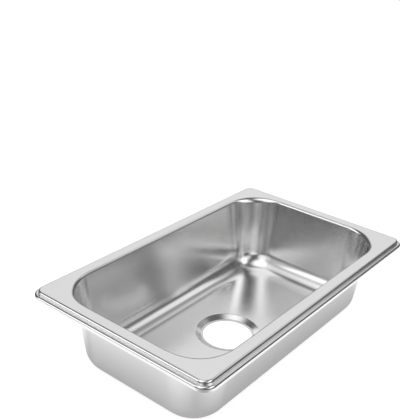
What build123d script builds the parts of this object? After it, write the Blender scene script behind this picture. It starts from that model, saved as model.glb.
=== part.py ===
"""Rectangular drop-in sink: one pressed steel bowl with a stepped rim, its seal, pads and screw clips.

Sizes are in millimetres, with +Z up. The origin lies on the drain's axis, in the plane of the drain
recess's underside, which is what the sink stands on. X runs along the long sides and -Y is the front.
A section is drawn with its first coordinate outwards and its second upwards.
"""

import os
from math import cos, radians, sin, tan

from build123d import *

# Sheet and flat rim top
sheet = 0.8
plate_length = 388.0
plate_width = 232.0
plate_corner = 10.0

# Two steps round the rim's edge, from the flat top down to the turned lip
shoulder_round = 1.6
upper_step = 5.4
ledge = 2.0
lower_step = 2.4
lip = 2.2
lip_drop = 2.2
step_hollow = 0.4
step_round = 1.0

# Bowl, measured on its inner face
mouth_setback = 14.1
mouth_corner = 50.0
mouth_round = 3.5
wall_draft = 8.65
bowl_depth = 96.0
floor_round = 25.0

# Drain recess and its open hole
hole_radius = 30.0
drain_seat = 2.0
recess_run = 7.5
recess_depth = 4.0
recess_round = 3.0

# Foam seal under the lip
seal_width = 5.0
seal_proud = 0.5
seal_round = 0.6

# Sound-deadening pads under the floor, one each side of the drain
pad_length = 78.0
pad_width = 108.0
pad_thickness = 2.0
pad_corner = 8.0
pad_gap = 10.0

# Clip lugs, welded to the long walls, each with a tab lanced out of its plate
clip_spread = 180.0
lug_sheet = 1.2
lug_width = 34.0
lug_height = 17.0
lug_drop = 5.0
lug_corner = 2.0
tab_drop = 8.0
tab_width = 14.0
tab_margin = 4.6
tab_bend = 0.8
lance_gap = 0.8

# Clip bolt, nut and washer
thread_radius = 2.0
bolt_length = 17.0
bolt_chamfer = 0.4
head_width = 6.0
head_height = 2.2
neck_gap = 0.1
nut_flats = 7.0
nut_height = 3.2
thread_gap = 0.05
thread_spare = 2.5
washer_radius = 4.5
washer_thickness = 0.8
hole_gap = 0.2

# Clip claw: a flat heel round the bolt, an arm bent down and a tip turned up into two teeth
claw_sheet = 1.5
claw_width = 7.2
claw_heel = 5.0
claw_corner = 2.4
claw_flat = 6.5
claw_slope_run = 5.0
claw_drop = 5.5
claw_reach = 22.0
claw_bend = 2.0
tooth_height = 1.2
tooth_bend = 0.5
tooth_notch = 2.6
claw_wall_gap = 0.6

# Levels, slopes and half sizes that follow from the sizes above
draft_angle = radians(wall_draft)
wall_slope = tan(draft_angle)
floor_level = recess_depth + sheet
top_level = floor_level + bowl_depth
rim_spread = ledge + lip
half_plate_x = plate_length / 2
half_plate_y = plate_width / 2
half_mouth_x = half_plate_x - mouth_setback
half_mouth_y = half_plate_y - mouth_setback
recess_radius = hole_radius + drain_seat + recess_run

# Flat stretch that each pressed section keeps from its outermost corner point
plate_run = shoulder_round + sheet
mouth_run = mouth_round + sheet
floor_run = floor_round + sheet
recess_run_out = recess_round + sheet


def bent_sheet(points, bends, thickness):
    """A sheet's cut section: its face follows the points and its back lies on the right of travel."""
    face = [Vector(*point) for point in points]
    travel = [(end - start).normalized() for start, end in zip(face, face[1:])]
    to_back = [Vector(step.Y, -step.X) for step in travel]
    back = [face[0] + to_back[0] * thickness]
    back_bends = []
    for index, bend in enumerate(bends):
        before = to_back[index]
        after = to_back[index + 1]
        back.append(face[index + 1] + (before + after) * (thickness / (1 + before.dot(after))))
        bends_to_back = travel[index].cross(travel[index + 1]).Z < 0
        back_bends.append(bend - thickness if bends_to_back else bend + thickness)
    back.append(face[-1] + to_back[-1] * thickness)
    outline = [
        FilletPolyline(*face, radius=bends),
        Line(face[-1], back[-1]),
        FilletPolyline(*back, radius=back_bends),
        Line(back[0], face[0]),
    ]
    return make_face([edge for line in outline for edge in line.edges()])


def carried_round(section, half_x, half_y, corner):
    """A section carried round a rounded rectangle: straight along its sides, turned at its corners."""
    upright = Plane.XZ * section
    ring = Part()
    for turn, reach, run in ((0, half_x, half_y), (90, half_y, half_x)):
        side_end = Pos(reach, run - corner, 0) * upright
        side = extrude(side_end, amount=2 * (run - corner))
        bend = revolve(side_end, Axis((reach - corner, run - corner, 0), (0, 0, 1)), 90)
        for half_turn in (0, 180):
            ring += Rot(0, 0, turn + half_turn) * (side + bend)
    return ring


def rounded_plate(half_x, half_y, corner, thickness):
    """A flat rounded rectangle whose upper face lies at height zero."""
    return extrude(RectangleRounded(2 * half_x, 2 * half_y, corner), amount=-thickness)


def make_bowl():
    """The whole pressing: stepped rim, flat rim top, drafted walls, floor and drain recess."""
    lip_top = -upper_step - lower_step
    steps = bent_sheet(
        [
            (-plate_run, 0),
            (0, 0),
            (0, -upper_step),
            (ledge, -upper_step),
            (ledge, lip_top),
            (rim_spread, lip_top),
            (rim_spread, lip_top - lip_drop),
        ],
        [shoulder_round, step_hollow, step_round, step_hollow, step_round],
        sheet,
    )
    rim = carried_round(steps, half_plate_x, half_plate_y, plate_corner)

    plate = rounded_plate(
        half_plate_x - plate_run, half_plate_y - plate_run, plate_corner - plate_run, sheet
    )
    plate -= rounded_plate(
        half_mouth_x + mouth_run, half_mouth_y + mouth_run, mouth_corner + mouth_run, sheet
    )

    wall_run = wall_slope * bowl_depth
    wall = bent_sheet(
        [(-wall_run - floor_run, -bowl_depth), (-wall_run, -bowl_depth), (0, 0), (mouth_run, 0)],
        [floor_round, mouth_round],
        sheet,
    )
    walls = carried_round(wall, half_mouth_x, half_mouth_y, mouth_corner)

    inset = wall_run + floor_run
    floor = rounded_plate(half_mouth_x - inset, half_mouth_y - inset, mouth_corner - inset, sheet)
    floor -= extrude(Circle(recess_radius + recess_run_out), amount=-sheet)

    dish = bent_sheet(
        [
            (hole_radius, -recess_depth),
            (hole_radius + drain_seat, -recess_depth),
            (recess_radius, 0),
            (recess_radius + recess_run_out, 0),
        ],
        [recess_round, recess_round],
        sheet,
    )
    recess = revolve(Plane.XZ * dish, Axis.Z, 360)
    return Pos(0, 0, top_level) * (rim + plate + walls + Pos(0, 0, -bowl_depth) * (floor + recess))


def make_rim_seal():
    """A foam loop that lies in the turned lip and stands a little proud of its edge."""
    under_lip = -upper_step - lower_step - sheet
    foot = -upper_step - lower_step - lip_drop - seal_proud
    outer = rim_spread - sheet
    inner = outer - seal_width
    strip = FilletPolyline(
        (inner, foot), (inner, under_lip), (outer, under_lip), (outer, foot), radius=seal_round
    )
    section = make_face([*strip.edges(), *Line((outer, foot), (inner, foot)).edges()])
    return Pos(0, 0, top_level) * carried_round(section, half_plate_x, half_plate_y, plate_corner)


def make_sound_pad(side):
    """A flat rubber pad glued under the floor, left (-1) or right (+1) of the drain."""
    inner_edge = recess_radius + recess_run_out + pad_gap
    pad = rounded_plate(pad_length / 2, pad_width / 2, pad_corner, pad_thickness)
    return Pos(side * (inner_edge + pad_length / 2), 0, recess_depth) * pad


# Heights of a clip's pieces, and the bolt's distance from the middle of the sink
tab_level = top_level - tab_drop
bolt_end = tab_level - bolt_length
nut_foot = bolt_end + thread_spare
washer_foot = nut_foot + nut_height
claw_foot = washer_foot + washer_thickness
tab_wall = half_mouth_y - wall_slope * tab_drop + sheet / cos(draft_angle)
bolt_offset = tab_wall + lug_sheet / cos(draft_angle) + claw_wall_gap + claw_width / 2


def make_lug():
    """A plate welded to the rear wall's slope, with a tab lanced out of it to carry the bolt."""
    wall_face = Plane(
        origin=(0, tab_wall, tab_level),
        x_dir=(-1, 0, 0),
        z_dir=(0, cos(draft_angle), -sin(draft_angle)),
    )
    tab_reach = bolt_offset + tab_margin - tab_wall
    plate_head = tab_drop - lug_drop
    window_height = tab_reach - lug_sheet
    outline = Pos(0, plate_head - lug_height / 2) * RectangleRounded(lug_width, lug_height, lug_corner)
    window = Pos(0, -lug_sheet - window_height / 2) * Rectangle(tab_width + 2 * lance_gap, window_height)
    plate = extrude(wall_face * (outline - window), amount=lug_sheet)

    face_corner = lug_sheet / cos(draft_angle)
    strap = bent_sheet(
        [(face_corner + wall_slope * plate_head, plate_head), (face_corner, 0), (tab_reach, 0)],
        [tab_bend],
        lug_sheet,
    )
    tab = extrude(Plane.YZ * strap, amount=tab_width / 2, both=True)
    neck_hole = 2 * (thread_radius + neck_gap)
    hole = Pos(0, bolt_offset - tab_wall, 0) * Box(neck_hole, neck_hole, 4 * lug_sheet)
    return plate + Pos(0, tab_wall, tab_level) * (tab - hole)


def make_bolt():
    """A square-headed bolt that hangs in the tab by its head, held from turning by its square neck."""
    shank = Cylinder(thread_radius, bolt_length, align=(Align.CENTER, Align.CENTER, Align.MAX))
    shank = chamfer(shank.edges().sort_by(Axis.Z)[0], bolt_chamfer)
    neck = Box(
        2 * thread_radius, 2 * thread_radius, lug_sheet, align=(Align.CENTER, Align.CENTER, Align.MAX)
    )
    head = Box(
        head_width, head_width, head_height, align=(Align.CENTER, Align.CENTER, Align.MIN)
    )
    head = chamfer(head.faces().sort_by(Axis.Z)[-1].edges(), bolt_chamfer)
    return Pos(0, bolt_offset, tab_level) * (shank + neck + head)


def make_nut():
    """A hexagon nut, drawn in its lowest place on the bolt."""
    hexagon = RegularPolygon(nut_flats / 2, 6, major_radius=False)
    return Pos(0, bolt_offset, nut_foot) * extrude(
        hexagon - Circle(thread_radius + thread_gap), amount=nut_height
    )


def make_washer():
    """A plain washer that lies on the nut and carries the claw."""
    ring = Circle(washer_radius) - Circle(thread_radius + hole_gap)
    return Pos(0, bolt_offset, washer_foot) * extrude(ring, amount=washer_thickness)


def make_claw(turn):
    """A bent steel claw round the bolt, its arm along the wall at an angle to +X."""
    tip = claw_reach - claw_sheet
    section = bent_sheet(
        [
            (-claw_heel, 0),
            (claw_flat, 0),
            (claw_flat + claw_slope_run, -claw_drop),
            (tip, -claw_drop),
            (tip, tooth_height - claw_drop),
        ],
        [claw_bend, claw_bend, tooth_bend],
        claw_sheet,
    )
    strip = extrude(Plane.XZ * section, amount=claw_width / 2, both=True)
    strip = fillet(strip.edges().filter_by(Axis.Z).group_by(Axis.X)[0], claw_corner)
    strip -= Cylinder(thread_radius + hole_gap, 4 * claw_sheet)
    notch = Polygon((-tooth_notch / 2, 0), (tooth_notch / 2, 0), (0, -tooth_height), align=None)
    strip -= Pos(0, 0, tooth_height - claw_drop) * extrude(
        Pos(tip - claw_sheet, 0, 0) * (Plane.YZ * notch), amount=4 * claw_sheet
    )
    return Pos(0, bolt_offset, claw_foot + claw_sheet) * (Rot(0, 0, turn) * strip)


def make_clip(side):
    """The five pieces of a rear clip left (-1) or right (+1) of the middle, its claw folded inwards."""
    pieces = {
        "lug": make_lug(),
        "bolt": make_bolt(),
        "washer": make_washer(),
        "claw": make_claw(0 if side < 0 else 180),
        "nut": make_nut(),
    }
    return {name: Pos(side * clip_spread / 2, 0, 0) * piece for name, piece in pieces.items()}


def make_nodes():
    """Every piece of the sink by its name; a front clip is the opposite rear clip turned half round."""
    nodes = {
        "bowl": make_bowl(),
        "rim_seal": make_rim_seal(),
        "left_sound_pad": make_sound_pad(-1),
        "right_sound_pad": make_sound_pad(1),
    }
    left_clip = make_clip(-1)
    right_clip = make_clip(1)
    places = (
        ("rear_left", left_clip, 0),
        ("rear_right", right_clip, 0),
        ("front_left", right_clip, 180),
        ("front_right", left_clip, 180),
    )
    for place, clip, turn in places:
        for name, piece in clip.items():
            nodes[f"{place}_{name}"] = Rot(0, 0, turn) * piece
    return nodes


os.makedirs("parts", exist_ok=True)
for node_name, solid in make_nodes().items():
    export_step(solid, f"parts/{node_name}.step")
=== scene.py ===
"""Looks of a small drop-in sink: its pressed stainless bowl, foam seal, deadening pads and screw clips.

Shapes are worked out in millimetres and become meshes in metres. +Z is up, X runs along the long sides, -Y is
the front, and the origin lies on the drain's axis, where the sink stands.
"""

from math import cos, pi, radians, sin, tan

import bpy
import numpy as np
from mathutils import Matrix


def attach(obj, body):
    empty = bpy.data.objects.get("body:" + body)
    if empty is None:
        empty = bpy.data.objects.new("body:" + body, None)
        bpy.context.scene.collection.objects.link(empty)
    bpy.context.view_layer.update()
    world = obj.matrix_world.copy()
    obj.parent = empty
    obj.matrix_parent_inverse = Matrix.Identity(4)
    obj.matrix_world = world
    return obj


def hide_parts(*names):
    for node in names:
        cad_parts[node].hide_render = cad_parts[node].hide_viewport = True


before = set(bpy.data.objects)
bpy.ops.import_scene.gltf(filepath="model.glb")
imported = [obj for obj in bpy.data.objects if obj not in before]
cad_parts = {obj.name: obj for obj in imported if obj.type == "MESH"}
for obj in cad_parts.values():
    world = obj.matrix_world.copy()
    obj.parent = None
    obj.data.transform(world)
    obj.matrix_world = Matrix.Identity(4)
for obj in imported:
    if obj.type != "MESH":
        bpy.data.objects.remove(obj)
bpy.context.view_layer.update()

# Pressed sheet and flat rim top
sheet = 0.8
half_plate = np.array([195.3, 117.3])
plate_corner = 11.0
rim_round = 2.6
lip_round = 2.6
step = 3.8
ledge = 3.9
step_hollow = 0.2
lip_depth = 9.2

# Bowl and drain recess, on the inner face
mouth_setback = 15.4
mouth_corner = 50.0
mouth_round = 3.5
corner_mouth_round = 8.0
corner_ease = 0.5
draft = radians(8.65)
bowl_depth = 96.0
floor_round = 25.0
hole_radius = 30.0
drain_seat = 2.0
recess_run = 7.5
recess_depth = 4.0
recess_round = 3.0

# Seal and pads
seal_width = 5.0
seal_proud = 1.3
seal_gap = 0.8
seal_inner_edge = 0.45
seal_foot_edge = 0.6
seal_hollow_edge = 1.2
pad_size = np.array([78.0, 108.0, 2.0])
pad_corner = 8.0
pad_gap = 10.0
pad_edge = 0.5
pad_glued_edge = 0.12
pad_margin = 6.0

# Clips
clip_spread = 180.0
lug_sheet = 1.2
tab_drop = 8.0
bolt_length = 17.0
bolt_chamfer = 0.4
thread_radius = 2.0
thread_pitch = 0.7
thread_depth = 0.36
thread_crest = 0.06
thread_tip = 0.9
thread_tip_slope = 1.1
thread_start = 0.02
thread_steps = 8
thread_spare = 2.5
head_width = 6.0
head_height = 2.2
head_margin = 1.6
head_corner = 0.3
head_edge = 0.15
neck_corner = 0.15
nut_flats = 7.0
nut_height = 3.2
nut_bore = 2.05
nut_countersink = 0.35
nut_face_share = 0.95
nut_cone_slope = 0.5
washer_radius = 4.5
washer_bore = 2.2
washer_thickness = 0.8
washer_rolled_edge = 0.25
washer_rolled_middle = 0.07
washer_sharp_edge = 0.08
weld_spread = 12.4
weld_drop = 8.0
weld_profile = np.array([(2.6, -0.05), (2.3, 0.1), (1.9, 0.12), (1.6, 0.02), (1.2, 0.02), (0.5, 0.03)])
claw_width = 7.2
claw_wall_gap = 0.6

# Levels and places that follow
floor_level = recess_depth + sheet
top_level = floor_level + bowl_depth
half_mouth = half_plate - mouth_setback
recess_radius = hole_radius + drain_seat + recess_run
plate_run = rim_round + sheet
mouth_run = corner_mouth_round + sheet
floor_run = floor_round + sheet
recess_run_out = recess_round + sheet
wall_run = tan(draft) * bowl_depth
tab_level = top_level - tab_drop
bolt_end = tab_level - bolt_length
nut_foot = bolt_end + thread_spare
washer_foot = nut_foot + nut_height
tab_wall = half_mouth[1] - tan(draft) * tab_drop + sheet / cos(draft)
bolt_offset = tab_wall + lug_sheet / cos(draft) + claw_wall_gap + claw_width / 2
clip_places = {
    "rear_left": (-1, 1),
    "rear_right": (1, 1),
    "front_left": (-1, -1),
    "front_right": (1, -1),
}


def contour_columns(corner_steps, long_steps, short_steps):
    """Columns round a rounded rectangle: each one's share of the corner centres and its outward direction.

    A contour's point is its share times (half size - corner radius), plus its direction times the radius.
    """
    signs = np.array([(1, 1), (-1, 1), (-1, -1), (1, -1)], float)
    shares, turns = [], []
    for number, steps in enumerate((long_steps, short_steps, long_steps, short_steps)):
        start, end = signs[number], signs[(number + 1) % 4]
        along = np.linspace(0, 1, steps + 1)[1:-1, None]
        shares += [np.tile(start, (corner_steps + 1, 1)), start + along * (end - start)]
        turns += [90 * number + np.linspace(0, 90, corner_steps + 1), np.full(steps - 1, 90.0 * number + 90)]
    turn = np.radians(np.concatenate(turns))
    return np.concatenate(shares), np.stack([np.cos(turn), np.sin(turn)], 1)


def bent_profile(points, bends, arc_steps, longest):
    """Straight runs joined by arcs, with left-hand normals.

    An arc of radius r leaves its run r times tan(half the turn) before the corner, and its normal turns
    evenly. Straight gaps longer than the longest step are divided evenly.
    """
    points = np.array(points, float)
    runs = np.diff(points, axis=0)
    runs /= np.linalg.norm(runs, axis=1, keepdims=True)
    lefts = np.stack([-runs[:, 1], runs[:, 0]], 1)
    turns = np.arctan2((lefts[:-1] * runs[1:]).sum(1), (runs[:-1] * runs[1:]).sum(1))
    places, normals = [points[:1]], [lefts[:1]]
    for corner, run, left, turn, bend in zip(points[1:-1], runs, lefts, turns, bends):
        angle = np.linspace(0, turn, arc_steps + 1)[:, None]
        normal = np.cos(angle) * left - np.sin(angle) * run
        inward = np.sign(turn) * bend
        centre = corner - run * bend * tan(abs(turn) / 2) + inward * left
        places.append(centre - inward * normal)
        normals.append(normal)
    row = np.hstack([np.concatenate(places + [points[-1:]]), np.concatenate(normals + [lefts[-1:]])])
    gaps = np.linalg.norm(np.diff(row[:, :2], axis=0), axis=1)
    counts = np.maximum(np.ceil(gaps / longest), 1).astype(int)
    parts = [number + np.arange(count) / count for number, count in enumerate(counts)]
    at = np.concatenate(parts + [[len(counts)]])
    row = np.stack([np.interp(at, np.arange(len(row)), value) for value in row.T], 1)
    return row[:, :2], row[:, 2:] / np.linalg.norm(row[:, 2:], axis=1, keepdims=True)


def carried_rows(profile, half_size, corner, columns):
    """A profile carried round a rounded rectangle.

    Its first value moves the contour outwards, its second lifts it.
    """
    (places, normals), (share, outward) = profile, columns
    spread = share * (half_size - corner) + (corner + places[:, :1, None]) * outward
    lift = np.broadcast_to(places[:, None, 1:], spread.shape[:2] + (1,))
    facing = normals[:, :1, None] * outward
    tilt = np.broadcast_to(normals[:, None, 1:], lift.shape)
    return np.concatenate([spread, lift], 2), np.concatenate([facing, tilt], 2)


def eased_rows(side, corner, half_size, radius, columns):
    """A profile carried round a rounded rectangle, eased from the sides' form to the corners' own.

    The corner's share is the squared sine of twice the column's turn. A normal is the cross product of the
    surface's slopes along the rows and along the columns, written in the column's outward, sideways and
    upward directions.
    """
    share, outward = columns
    sideways = np.stack([-outward[:, 1], outward[:, 0]], 1)
    sine = 2 * outward[:, :1] * outward[:, 1:]
    cosine = outward[:, :1] ** 2 - outward[:, 1:] ** 2
    gap = (corner[0] - side[0])[:, None]
    places = side[0][:, None] + gap * sine**2
    slope = np.gradient(places, axis=0)
    reach = radius + places[..., :1]
    lean = 4 * sine * cosine * (slope[..., 1:] * gap[..., :1] - slope[..., :1] * gap[..., 1:]) / reach
    facing = np.concatenate([lean * sideways - slope[..., 1:] * outward, slope[..., :1]], 2)
    facing /= np.linalg.norm(facing, axis=2, keepdims=True)
    spread = share * (half_size - radius) + reach * outward
    return np.concatenate([spread, places[..., 1:]], 2), facing


def turned_rows(profile, bearing):
    """A profile turned round the Z axis: its first value is the radius, its second the height."""
    places, normals = profile
    radial = np.stack([np.cos(bearing), np.sin(bearing)], 1)
    lift = np.broadcast_to(places[:, None, 1:], (len(places), len(bearing), 1))
    tilt = np.broadcast_to(normals[:, None, 1:], lift.shape)
    return (
        np.concatenate([places[:, :1, None] * radial, lift], 2),
        np.concatenate([normals[:, :1, None] * radial, tilt], 2),
    )


def bridging_rows(start, end, count):
    """Rows on straight lines from one contour to the next, without the two contours themselves."""
    share = np.linspace(0, 1, count + 2)[1:-1, None, None]
    return start + share * (end - start)


def surface(name, places, facing=None, joined=False, capped=False, cut_strips=(), crease=35):
    """A grid of rows and closed columns as a mesh.

    Columns run counter-clockwise seen from above. Rows run outwards under a piece, up its outer side,
    inwards over its top and down its inner side, so that faces point outwards. joined closes the last row to
    the first. capped closes both end rows with a fan round their middle. facing gives each point's normal,
    except on the cut strips, which take their own; without it edges sharper than the crease stay sharp.
    """
    rows, columns = places.shape[:2]
    points = places.reshape(-1, 3) / 1000
    index = np.arange(rows * columns).reshape(rows, columns)
    above = index if joined else index[:-1]
    below = np.roll(index, -1, 0) if joined else index[1:]
    quads = np.stack([above, np.roll(above, -1, 1), np.roll(below, -1, 1), below], 2).reshape(-1, 4)
    faces = quads.tolist()
    if capped:
        middles = places[[0, -1]].mean(1) / 1000
        points = np.concatenate([points, middles])
        first, last = index[0], index[-1]
        middle = np.full(columns, rows * columns)
        faces += np.stack([np.roll(first, -1), first, middle], 1).tolist()
        faces += np.stack([last, np.roll(last, -1), middle + 1], 1).tolist()
    mesh = bpy.data.meshes.new(name)
    mesh.from_pydata(points.tolist(), [], faces)
    mesh.polygons.foreach_set("use_smooth", np.ones(len(mesh.polygons), bool))
    if facing is None:
        mesh.set_sharp_from_angle(angle=radians(crease))
    else:
        corners = facing.reshape(-1, 3)[quads].reshape(-1, columns, 4, 3).copy()
        for strip in cut_strips:
            down = places[(strip + 1) % rows] - places[strip]
            along = np.roll(places[strip], -1, 0) - np.roll(places[strip], 1, 0)
            out = np.cross(along, down)
            out /= np.linalg.norm(out, axis=1, keepdims=True)
            ahead = np.roll(out, -1, 0)
            corners[strip] = np.stack([out, ahead, ahead, out], 1)
        mesh.normals_split_custom_set(corners.reshape(-1, 3))
    mesh.update()
    piece = bpy.data.objects.new(name, mesh)
    bpy.context.scene.collection.objects.link(piece)
    return piece


def make_bowl():
    """The pressing: one face from the lip's edge over the rim, down the wall and floor to the hole.

    Its back lies one sheet behind the face along its normals, and the two cut edges join them.
    """
    steps = bent_profile(
        [
            (-plate_run, 0),
            (0, 0),
            (0, -step),
            (ledge, -step),
            (ledge, -lip_depth),
        ],
        [rim_round, step_hollow, lip_round],
        arc_steps=5,
        longest=3.0,
    )
    side_wall, corner_wall = [
        bent_profile(
            [(-wall_run - floor_run, -bowl_depth), (-wall_run, -bowl_depth), (-ease, 0), (mouth_run, 0)],
            [floor_round, bend],
            arc_steps=14,
            longest=9.5,
        )
        for ease, bend in ((0, mouth_round), (corner_ease, corner_mouth_round))
    ]
    dish = bent_profile(
        [
            (hole_radius, -recess_depth),
            (hole_radius + drain_seat, -recess_depth),
            (recess_radius, 0),
            (recess_radius + recess_run_out, 0),
        ],
        [recess_round, recess_round],
        arc_steps=6,
        longest=2.0,
    )
    columns = contour_columns(corner_steps=16, long_steps=30, short_steps=16)
    rim, rim_facing = [rows[::-1] for rows in carried_rows(steps, half_plate, plate_corner, columns)]
    eased = eased_rows(side_wall, corner_wall, half_mouth, mouth_corner, columns)
    walls, wall_facing = [rows[::-1] for rows in eased]
    bearing = np.arctan2(walls[-1, :, 1], walls[-1, :, 0])
    recess, recess_facing = [rows[::-1] for rows in turned_rows(dish, bearing)]
    recess = recess - [0, 0, bowl_depth]
    flange = bridging_rows(rim[-1], walls[0], count=3)
    floor = bridging_rows(walls[-1], recess[0], count=7)
    up = np.array([0.0, 0.0, 1.0])
    face = np.concatenate([rim, flange, walls, floor, recess])
    facing = np.concatenate(
        [
            rim_facing,
            np.broadcast_to(up, flange.shape),
            wall_facing,
            np.broadcast_to(up, floor.shape),
            recess_facing,
        ]
    )
    face = face + [0, 0, top_level]
    back = face - sheet * facing
    both = np.concatenate([face, back[::-1]])
    return surface(
        "pressed_bowl",
        both,
        np.concatenate([facing, -facing[::-1]]),
        joined=True,
        cut_strips=(len(face) - 1, 2 * len(face) - 1),
    )


def make_rim_seal():
    """The foam strip: a closed section with rounded edges, carried round the rim in its ledge's hollow."""
    under_ledge = -step - sheet
    foot = -lip_depth - seal_proud
    outer = ledge - sheet - seal_gap
    inner = outer - seal_width
    middle = (inner + outer) / 2
    section = bent_profile(
        [
            (middle, foot),
            (outer, foot),
            (outer, under_ledge),
            (inner, under_ledge),
            (inner, foot),
            (middle, foot),
        ],
        [seal_foot_edge, seal_hollow_edge, seal_inner_edge, seal_inner_edge],
        arc_steps=4,
        longest=1.2,
    )
    columns = contour_columns(corner_steps=12, long_steps=60, short_steps=36)
    places, facing = carried_rows(section, half_plate, plate_corner, columns)
    places = places[:-1] + [0, 0, top_level]
    return surface("foam_rim_seal", places, -facing[:-1], joined=True)


def make_sound_pad(name, side):
    """A rubber pad: contours that shrink round its upper and lower edges, closed across its middle."""
    length, width, thickness = pad_size
    profile = bent_profile(
        [(-pad_margin, 0), (0, 0), (0, -thickness), (-pad_margin, -thickness)],
        [pad_glued_edge, pad_edge],
        arc_steps=4,
        longest=2.0,
    )
    columns = contour_columns(corner_steps=8, long_steps=18, short_steps=24)
    places, _ = carried_rows(profile, np.array([length, width]) / 2, pad_corner, columns)
    across = side * (recess_radius + recess_run_out + pad_gap + length / 2)
    return surface(name, places[::-1] + [across, 0, recess_depth], capped=True)


def at_clip(places, place):
    """Moves a piece made round the Z axis to a clip's bolt; a front clip is turned half round."""
    side, depth = clip_places[place]
    return places * [depth, depth, 1] + [side * clip_spread / 2, depth * bolt_offset, 0]


def make_bolt(name, place):
    """A square-headed bolt: a square head and neck, then a thread whose radius is a ridge along a helix.

    The ridge's height at a turn t and height h is a triangle wave of h / pitch - t, cut by a cone at the tip.
    """
    share, outward = contour_columns(corner_steps=4, long_steps=4, short_steps=4)
    bearing = np.arctan2(outward[:, 1] + share[:, 1], outward[:, 0] + share[:, 0])
    head, neck = head_width / 2, thread_radius
    levels = [
        (head - head_margin, head_corner, head_height),
        (head - bolt_chamfer, head_corner, head_height),
        (head, head_corner, head_height - bolt_chamfer),
        (head, head_corner, head_edge),
        (head - head_edge, head_corner, 0),
        (neck, neck_corner, 0),
        (neck, neck_corner, -lug_sheet),
    ]
    upper = [
        np.column_stack([share * (half - corner) + corner * outward, np.full(len(share), height)])
        for half, corner, height in levels
    ]
    just_past_end = -bolt_length - 0.001
    heights = np.arange(-lug_sheet - thread_start, just_past_end, -thread_pitch / thread_steps)[:, None]
    wave = np.abs((heights / thread_pitch - bearing / (2 * pi)) % 1 * 2 - 1)
    ridge = thread_radius - thread_crest - thread_depth * wave
    tip = thread_radius - thread_tip + np.maximum(heights + bolt_length, 0) * thread_tip_slope
    radius = np.minimum(ridge, tip)
    thread = np.stack([radius * np.cos(bearing), radius * np.sin(bearing), heights + 0 * bearing], 2)
    places = np.concatenate([np.array(upper), thread]) + [0, 0, tab_level]
    return surface(name, at_clip(places[::-1], place), capped=True, crease=50)


def even_bearings(count):
    """Bearings evenly round a circle."""
    return np.linspace(0, 2 * pi, count, endpoint=False)


def ring_rows(levels, bearing):
    """Rings round the Z axis from pairs of radius and height; each may change with the bearing."""
    across, along = np.cos(bearing), np.sin(bearing)
    return np.array([np.stack([r * across, r * along, z + 0 * bearing], 1) for r, z in levels])


def make_nut(name, place):
    """A hexagon nut: flat ends, a cone that cuts the corners, six flats and a bore with its countersink."""
    bearing = even_bearings(count=72)
    apart = (bearing + pi / 6) % (pi / 3) - pi / 6
    hexagon = nut_flats / 2 / np.cos(apart)
    face = nut_flats / 2 * nut_face_share + 0 * bearing
    sunk = nut_bore + nut_countersink + 0 * bearing
    bore = nut_bore + 0 * bearing
    cut = (hexagon - face) * nut_cone_slope
    levels = [
        (bore, nut_height - nut_countersink),
        (sunk, nut_height),
        (face, nut_height),
        (hexagon, nut_height - cut),
        (hexagon, cut),
        (face, 0),
        (sunk, 0),
        (bore, nut_countersink),
    ]
    places = ring_rows(levels, bearing)[::-1] + [0, 0, nut_foot]
    return surface(name, at_clip(places, place), joined=True, crease=25)


def make_washer(name, place):
    """A stamped washer: a flat ring with one rolled edge and one sharper edge, turned round its axis."""
    bearing = even_bearings(count=48)
    rolled, middle, sharp = washer_rolled_edge, washer_rolled_middle, washer_sharp_edge
    levels = [
        (washer_bore, washer_thickness - sharp),
        (washer_bore + sharp, washer_thickness),
        (washer_radius - rolled, washer_thickness),
        (washer_radius - middle, washer_thickness - middle),
        (washer_radius, washer_thickness - rolled),
        (washer_radius, sharp),
        (washer_radius - sharp, 0),
        (washer_bore + sharp, 0),
        (washer_bore, sharp),
    ]
    places = ring_rows(levels, bearing)[::-1] + [0, 0, washer_foot]
    return surface(name, at_clip(places, place), joined=True, crease=40)


def make_weld_spot(name, place, shift):
    """A spot weld's mark on a lug: a shallow ring pressed up round a flat dimple, on the lug's slope."""
    bearing = even_bearings(count=28)
    radius, rise = weld_profile[:, :1], weld_profile[:, 1:]
    side, depth = clip_places[place]
    across = shift + radius * np.cos(bearing)
    along = -weld_drop + radius * np.sin(bearing)
    out = lug_sheet + rise + 0 * bearing
    y = tab_wall + along * sin(draft) + out * cos(draft)
    z = tab_level + along * cos(draft) - out * sin(draft)
    places = np.stack([-across, y, z], 2) * [depth, depth, 1] + [side * clip_spread / 2, 0, 0]
    return surface(name, places, capped=True, crease=60)


def add_node(tree, kind, settings=None, **inputs):
    """A shader node with its settings and inputs; an input is a value or another node's output."""
    node = tree.nodes.new(kind)
    for name, value in (settings or {}).items():
        setattr(node, name, value)
    for name, value in inputs.items():
        key = int(name[1:]) if name[0] == "_" and name[1:].isdigit() else name.replace("_", " ")
        socket = node.inputs[key]
        if isinstance(value, bpy.types.NodeSocket):
            tree.links.new(value, socket)
        else:
            socket.default_value = value
    return node


def reckon(tree, operation, first, second):
    """A sum, a product or the greater of two values."""
    return add_node(tree, "ShaderNodeMath", {"operation": operation}, _0=first, _1=second).outputs[0]


def along_way(tree, spot, way):
    """How far a place lies along a direction."""
    node = add_node(tree, "ShaderNodeVectorMath", {"operation": "DOT_PRODUCT"}, _0=spot, _1=way)
    return node.outputs["Value"]


def ranged(tree, value, reach, levels, kind="LINEAR"):
    """A value's way through its reach, as a level from the first to the second."""
    node = add_node(
        tree,
        "ShaderNodeMapRange",
        {"interpolation_type": kind},
        Value=value,
        From_Min=reach[0],
        From_Max=reach[1],
        To_Min=levels[0],
        To_Max=levels[1],
    )
    return node.outputs[0]


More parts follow.
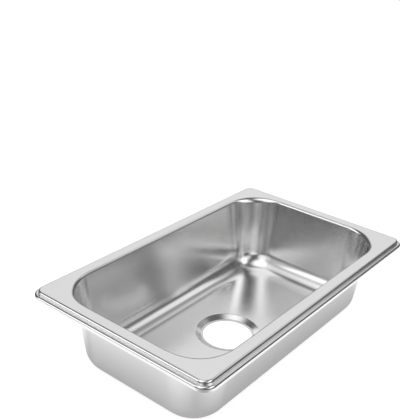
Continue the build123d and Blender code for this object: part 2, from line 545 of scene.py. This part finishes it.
def make_grain_group():
    """Fine grain and soft clouds over a surface, for every finish: two masks and a height for bump."""
    group = bpy.data.node_groups.new("surface_grain", "ShaderNodeTree")
    for way, names in (
        ("INPUT", ("Grain Scale", "Cloud Scale", "Cloud Height")),
        ("OUTPUT", ("Grain", "Cloud", "Height")),
    ):
        for name in names:
            group.interface.new_socket(name=name, in_out=way, socket_type="NodeSocketFloat")
    inside = group.nodes.new("NodeGroupInput")
    outside = group.nodes.new("NodeGroupOutput")
    spot = add_node(group, "ShaderNodeTexCoord").outputs["Object"]
    grain, cloud = [
        add_node(
            group,
            "ShaderNodeTexNoise",
            Vector=spot,
            Scale=inside.outputs[scale],
            Detail=detail,
            Roughness=roughness,
        ).outputs["Fac"]
        for scale, detail, roughness in (("Grain Scale", 3.0, 0.6), ("Cloud Scale", 2.0, 0.45))
    ]
    lifted = reckon(group, "MULTIPLY", cloud, inside.outputs["Cloud Height"])
    height = reckon(group, "ADD", grain, lifted)
    for name, value in (("Grain", grain), ("Cloud", cloud), ("Height", height)):
        group.links.new(value, outside.inputs[name])
    return group


grain_group = make_grain_group()
grain_share = 0.4
drift_reach = (0.35, 1.05)


def make_finish(name, dark, light, rough, metallic, grain_scale, cloud_scale, cloud_height, bump, depth):
    """A finish whose colour and roughness drift with its clouds and grain, and whose bump follows both."""
    material = bpy.data.materials.new(name)
    material.use_nodes = True
    tree = material.node_tree
    shader = tree.nodes["Principled BSDF"]
    grain = add_node(tree, "ShaderNodeGroup", {"node_tree": grain_group})
    grain.inputs["Grain Scale"].default_value = grain_scale
    grain.inputs["Cloud Scale"].default_value = cloud_scale
    grain.inputs["Cloud Height"].default_value = cloud_height
    shared = reckon(tree, "MULTIPLY", grain.outputs["Grain"], grain_share)
    drift = reckon(tree, "ADD", shared, grain.outputs["Cloud"])
    colour = add_node(tree, "ShaderNodeMix", {"data_type": "RGBA"})
    colour.inputs["A"].default_value = (*dark, 1)
    colour.inputs["B"].default_value = (*light, 1)
    tree.links.new(ranged(tree, drift, drift_reach, (0.0, 1.0)), colour.inputs["Factor"])
    tree.links.new(colour.outputs["Result"], shader.inputs["Base Color"])
    tree.links.new(ranged(tree, drift, drift_reach, rough), shader.inputs["Roughness"])
    shader.inputs["Metallic"].default_value = metallic
    relief = add_node(tree, "ShaderNodeBump", Strength=bump, Distance=depth, Height=grain.outputs["Height"])
    tree.links.new(relief.outputs["Normal"], shader.inputs["Normal"])
    return material


stainless = make_finish(
    "satin_stainless",
    dark=(0.715, 0.715, 0.715),
    light=(0.745, 0.745, 0.742),
    rough=(0.18, 0.23),
    metallic=1.0,
    grain_scale=1400.0,
    cloud_scale=22.0,
    cloud_height=0.0,
    bump=0.05,
    depth=0.00004,
)
zinc = make_finish(
    "zinc_plate",
    dark=(0.50, 0.51, 0.53),
    light=(0.66, 0.67, 0.69),
    rough=(0.30, 0.48),
    metallic=1.0,
    grain_scale=1100.0,
    cloud_scale=160.0,
    cloud_height=1.0,
    bump=0.3,
    depth=0.00006,
)
foam = make_finish(
    "black_foam",
    dark=(0.018, 0.018, 0.02),
    light=(0.05, 0.05, 0.052),
    rough=(0.85, 0.98),
    metallic=0.0,
    grain_scale=1500.0,
    cloud_scale=220.0,
    cloud_height=0.6,
    bump=0.7,
    depth=0.0002,
)
deadening = make_finish(
    "deadening_rubber",
    dark=(0.035, 0.035, 0.038),
    light=(0.075, 0.075, 0.08),
    rough=(0.6, 0.8),
    metallic=0.0,
    grain_scale=900.0,
    cloud_scale=60.0,
    cloud_height=0.8,
    bump=0.5,
    depth=0.00015,
)


def dress(piece, body, node, finish):
    """Gives a new piece its finish and the body it moves with, and hides the CAD node that it stands for."""
    piece.data.materials.clear()
    piece.data.materials.append(finish)
    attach(piece, body)
    if node:
        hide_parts(node)
    return piece


dress(make_bowl(), "sink", "bowl", stainless)
seal = dress(make_rim_seal(), "sink", "rim_seal", foam)
for pad_name, pad_side in (("left", -1), ("right", 1)):
    pad = make_sound_pad(f"{pad_name}_deadening_pad", pad_side)
    dress(pad, "sink", f"{pad_name}_sound_pad", deadening)

for place in clip_places:
    bolt = make_bolt(f"{place}_threaded_bolt", place)
    washer = make_washer(f"{place}_stamped_washer", place)
    nut = make_nut(f"{place}_hexagon_nut", place)
    dress(bolt, "sink", f"{place}_bolt", zinc)
    dress(washer, f"{place}_washer", f"{place}_washer", zinc)
    dress(nut, f"{place}_nut", f"{place}_nut", zinc)
    for spot_name, spot_shift in (("a", -weld_spread), ("b", weld_spread)):
        spot = make_weld_spot(f"{place}_weld_{spot_name}", place, spot_shift)
        dress(spot, "sink", None, stainless)
    for node_name, finish in ((f"{place}_lug", stainless), (f"{place}_claw", zinc)):
        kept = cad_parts[node_name]
        kept.data.materials.clear()
        kept.data.materials.append(finish)

# Camera at the photograph's view, for an image of 400 x 419: focal length in pixels, axes and place
image_width = 400
focal_pixels = 751.328
sensor_width = 36.0
eye_right = (0.631032, -0.774306, 0.047425)
eye_up = (0.301556, 0.301165, 0.904634)
eye_back = (-0.714746, -0.556552, 0.423542)
eye_place = (-0.626665, -0.435725, 0.421175 + top_level / 1000)

camera = bpy.data.cameras.new("photo_view")
camera.sensor_fit = "HORIZONTAL"
camera.sensor_width = sensor_width
camera.lens = focal_pixels / image_width * sensor_width
camera.clip_start = 0.01
eye = bpy.data.objects.new("photo_view", camera)
eye.matrix_world = Matrix([*zip(eye_right, eye_up, eye_back, eye_place), (0, 0, 0, 1)])
bpy.context.scene.collection.objects.link(eye)
bpy.context.scene.camera = eye


# Soft panels of light round the object, in degrees: bearing from the front towards +X, height, inner and
# outer spread, and then strength
light_panels = [
    (262, 69, 12, 34, 1.48),
    (19, 44, 8, 20, 1.75),
    (355, 25, 8, 27, 1.15),
    (59, 38, 7, 13, 1.05),
    (82, 44, 8, 16, 0.26),
    (126, 35, 15, 34, 0.86),
    (231, 22, 12, 22, 1.85),
    (276, 30, 8, 24, 1.15),
]
panel_gap_level = 0.12
diffuse_boost = 1.5

# Pale floor, in metres: its left, front, right and rear edges, its tone, its glow to the camera, and the
# painted shade on its glow in reflections
floor_edges = (-0.55, -0.26, 0.5, 0.6)
floor_tone = (0.4, 0.4, 0.4, 1)
floor_glow = 0.82
foot_half = (half_mouth - wall_run) / 1000
# Painted shade in reflections: the floor's glow is darker close round the sink's foot, standing in for the
# shadow under its rim
foot_shade_reach = (0.0, 0.09)
foot_shade_levels = (0.32, 1.0)
# Painted shade in reflections: the floor's glow is dimmed towards the camera's side
near_dim_way = (-0.8, -0.6, 0.0)
near_dim_reach = (0.28, 0.34)
near_dim_levels = (1.0, 0.1)


def seen_straight(tree, path):
    """Whether a place is seen by the camera itself, also through something clear."""
    return reckon(tree, "MAXIMUM", path.outputs["Is Camera Ray"], path.outputs["Is Transmission Ray"])


def make_floor():
    """A pale floor that is white to the camera, whose glow in reflections carries painted shade, and which
    still shows the object's soft shadow.

    From below it is clear, so that the underside can be seen.
    """
    mesh = bpy.data.meshes.new("pale_floor")
    left, front, right, rear = floor_edges
    corners = [(left, front, 0), (right, front, 0), (right, rear, 0), (left, rear, 0)]
    mesh.from_pydata(corners, [], [(0, 1, 2, 3)])
    floor = bpy.data.objects.new("pale_floor", mesh)
    bpy.context.scene.collection.objects.link(floor)
    material = bpy.data.materials.new("pale_floor")
    material.use_nodes = True
    tree = material.node_tree
    shader = tree.nodes["Principled BSDF"]
    shader.inputs["Base Color"].default_value = floor_tone
    shader.inputs["Roughness"].default_value = 0.9
    shader.inputs["Specular IOR Level"].default_value = 0.0
    path = add_node(tree, "ShaderNodeLightPath")
    spot = add_node(tree, "ShaderNodeTexCoord").outputs["Object"]
    spread = add_node(tree, "ShaderNodeVectorMath", {"operation": "ABSOLUTE"}, _0=spot).outputs[0]
    foot = (*foot_half, 1.0)
    beyond = add_node(tree, "ShaderNodeVectorMath", {"operation": "SUBTRACT"}, _0=spread, _1=foot)
    apart = add_node(tree, "ShaderNodeSeparateXYZ", _0=beyond.outputs[0])
    away = reckon(tree, "MAXIMUM", apart.outputs["X"], apart.outputs["Y"])
    # painted shade: in reflections the floor's glow is darker close round the sink's foot
    foot_shade = ranged(tree, away, foot_shade_reach, foot_shade_levels, "SMOOTHSTEP")
    # painted shade: in reflections the floor's glow dims towards the camera's side
    nearer = along_way(tree, spot, near_dim_way)
    near_dim = ranged(tree, nearer, near_dim_reach, near_dim_levels, "SMOOTHSTEP")
    shade = reckon(tree, "MULTIPLY", foot_shade, near_dim)
    straight = reckon(tree, "MULTIPLY", seen_straight(tree, path), floor_glow)
    # reflections see the floor's glow with this painted shade
    mirrored = reckon(tree, "MULTIPLY", path.outputs["Is Glossy Ray"], shade)
    glow = reckon(tree, "MAXIMUM", straight, mirrored)
    white = add_node(tree, "ShaderNodeEmission", Color=(1, 1, 1, 1), Strength=glow)
    both = add_node(tree, "ShaderNodeAddShader", _0=shader.outputs[0], _1=white.outputs[0])
    from_below = add_node(tree, "ShaderNodeNewGeometry").outputs["Backfacing"]
    clear = add_node(tree, "ShaderNodeBsdfTransparent")
    seen = add_node(tree, "ShaderNodeMixShader", _0=from_below, _1=both.outputs[0], _2=clear.outputs[0])
    tree.links.new(seen.outputs[0], tree.nodes["Material Output"].inputs["Surface"])
    mesh.materials.append(material)


def make_world():
    """A studio of soft light panels, with a plain white backdrop for the camera.

    A panel's light falls smoothly from its inner to its outer spread round its direction. The panels add up.
    """
    world = bpy.data.worlds.new("studio")
    bpy.context.scene.world = world
    world.use_nodes = True
    tree = world.node_tree
    ground = tree.nodes["Background"]
    spot = add_node(tree, "ShaderNodeTexCoord").outputs["Generated"]
    total = panel_gap_level
    for bearing, height, inner, outer, strength in light_panels:
        side, lift = radians(bearing), radians(height)
        aim = (sin(side) * cos(lift), -cos(side) * cos(lift), sin(lift))
        facing = along_way(tree, spot, aim)
        spread = (cos(radians(outer)), cos(radians(inner)))
        total = reckon(tree, "ADD", ranged(tree, facing, spread, (0.0, strength), "SMOOTHSTEP"), total)
    path = add_node(tree, "ShaderNodeLightPath")
    gain = ranged(tree, path.outputs["Is Diffuse Ray"], (0.0, 1.0), (1.0, diffuse_boost))
    panels = reckon(tree, "MULTIPLY", total, gain)
    level = add_node(tree, "ShaderNodeMix", _0=seen_straight(tree, path), _2=panels, _3=1.0)
    ground.inputs["Color"].default_value = (1, 1, 1, 1)
    tree.links.new(level.outputs[0], ground.inputs["Strength"])


make_floor()
make_world()

bpy.context.scene.view_settings.view_transform = "Standard"
